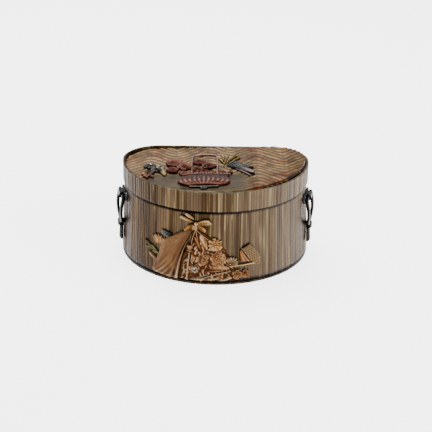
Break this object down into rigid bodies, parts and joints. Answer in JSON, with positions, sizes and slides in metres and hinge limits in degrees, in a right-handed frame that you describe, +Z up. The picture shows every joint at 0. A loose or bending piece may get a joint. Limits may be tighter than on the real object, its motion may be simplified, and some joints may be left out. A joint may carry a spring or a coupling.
{
  "type": "japanese suzuri ink box",
  "caption": "Japanese ink box with a rounded front, reeded metal walls, inset woven lid panel with a flower basket in relief, tied bouquet on the front, side bail handles and a fitted tray.",
  "frame": {"origin": "underside of the base plate, at the middle of the lid's depth and width", "axes": "+X to the right seen from the front, +Y to the straight back, +Z up"},
  "size_m": [0.1312, 0.0888, 0.0638],
  "materials": {
    "patinated_bronze": "satin, reeded",
    "dark_base": "satin",
    "lacquered_wood": "gloss lacquer",
    "copper_cloth": "satin",
    "gilt": "satin gilt",
    "pale_copper": "satin",
    "dark_alloy": "satin, near black",
    "weave": "satin, ridged",
    "red_copper": "satin",
    "green_gold": "satin",
    "silver": "satin",
    "slate": "ground stone",
    "ink": "pressed ink",
    "bamboo": "satin",
    "hair": "soft"
  },
  "bodies": {
    "case": {"base_plate": "dark_base", "case_wall": "patinated_bronze", "lining_wall": "lacquered_wood", "lining_floor": "lacquered_wood", "tray_ledge": "lacquered_wood", "left_handle_eye": "dark_alloy", "right_handle_eye": "dark_alloy", "bouquet_wrapper": "copper_cloth", "tie_cord": "gilt", "bundle_tips": "gilt", "long_leaf": "pale_copper", "crescent_leaf": "gilt", "ribbon_end": "dark_alloy", "brown_leaf": "red_copper", "chrysanthemum": "gilt", "camellia": "gilt", "flower_bud": "pale_copper", "plum_blossom": "pale_copper", "ring_flower": "pale_copper", "low_blossoms": "pale_copper", "shell_flower": "pale_copper", "main_stem": "pale_copper", "cross_stem": "gilt", "ground_leaves": "pale_copper", "fan": "pale_copper", "fan_lining": "copper_cloth", "pine_sprig": "green_gold", "grass_blades": "gilt"},
    "tray": {"tray_floor": "lacquered_wood", "tray_rim": "lacquered_wood", "tray_divider_long": "lacquered_wood", "tray_dividers_short": "lacquered_wood"},
    "ink_stone": {"ink_stone": "slate"},
    "ink_stick": {"ink_stick": "ink"},
    "water_dropper": {"water_dropper": "patinated_bronze"},
    "dropper_stopper": {"dropper_stopper": "gilt"},
    "large_brush": {"brush_large_handle": "bamboo", "brush_large_ferrule": "silver", "brush_large_hair": "hair"},
    "small_brush": {"brush_small_handle": "bamboo", "brush_small_ferrule": "silver", "brush_small_hair": "hair"},
    "lid": {"lid_hoop": "patinated_bronze", "lid_ring": "lacquered_wood"},
    "panel": {"panel_plate": "weave", "basket_bowl": "red_copper", "basket_rim": "red_copper", "basket_foot": "red_copper", "basket_handle": "red_copper", "peony_blooms": "red_copper", "heart_blooms": "red_copper", "dark_blooms": "dark_alloy", "green_leaf": "green_gold", "gold_ears": "gilt", "blue_leaves": "dark_alloy", "dark_leaf": "dark_alloy"},
    "left_handle": {"left_handle_bail": "dark_alloy", "left_handle_tassel": "dark_alloy"},
    "right_handle": {"right_handle_bail": "dark_alloy", "right_handle_tassel": "dark_alloy"}
  },
  "joints": [
    {"name": "tray_lift", "type": "slide", "parent": "case", "child": "tray", "axis": [0, 0, 1], "range_m": [0, 0.05]},
    {"name": "lid_lift", "type": "slide", "parent": "tray", "child": "lid", "axis": [0, 0, 1], "range_m": [0, 0.04]},
    {"name": "panel_lift", "type": "slide", "parent": "lid", "child": "panel", "axis": [0, 0, 1], "range_m": [0, 0.03]},
    {"name": "left_handle_swing", "type": "hinge", "parent": "case", "child": "left_handle", "pos_m": [-0.06057, 0.00513, 0.041], "axis": [-0.2079, 0.9781, 0], "range_deg": [0, 120]},
    {"name": "right_handle_swing", "type": "hinge", "parent": "case", "child": "right_handle", "pos_m": [0.06057, 0.00513, 0.041], "axis": [-0.2079, -0.9781, 0], "range_deg": [0, 120]},
    {"name": "ink_stone_lift", "type": "slide", "parent": "tray", "child": "ink_stone", "axis": [0, 0, 1], "range_m": [0, 0.018]},
    {"name": "ink_stick_lift", "type": "slide", "parent": "tray", "child": "ink_stick", "axis": [0, 0, 1], "range_m": [0, 0.018]},
    {"name": "dropper_lift", "type": "slide", "parent": "tray", "child": "water_dropper", "axis": [0, 0, 1], "range_m": [0, 0.005]},
    {"name": "stopper_lift", "type": "slide", "parent": "water_dropper", "child": "dropper_stopper", "axis": [0, 0, 1], "range_m": [0, 0.0055]},
    {"name": "large_brush_lift", "type": "slide", "parent": "tray", "child": "large_brush", "axis": [0, 0, 1], "range_m": [0, 0.018]},
    {"name": "small_brush_lift", "type": "slide", "parent": "tray", "child": "small_brush", "axis": [0, 0, 1], "range_m": [0, 0.018]}
  ]
}
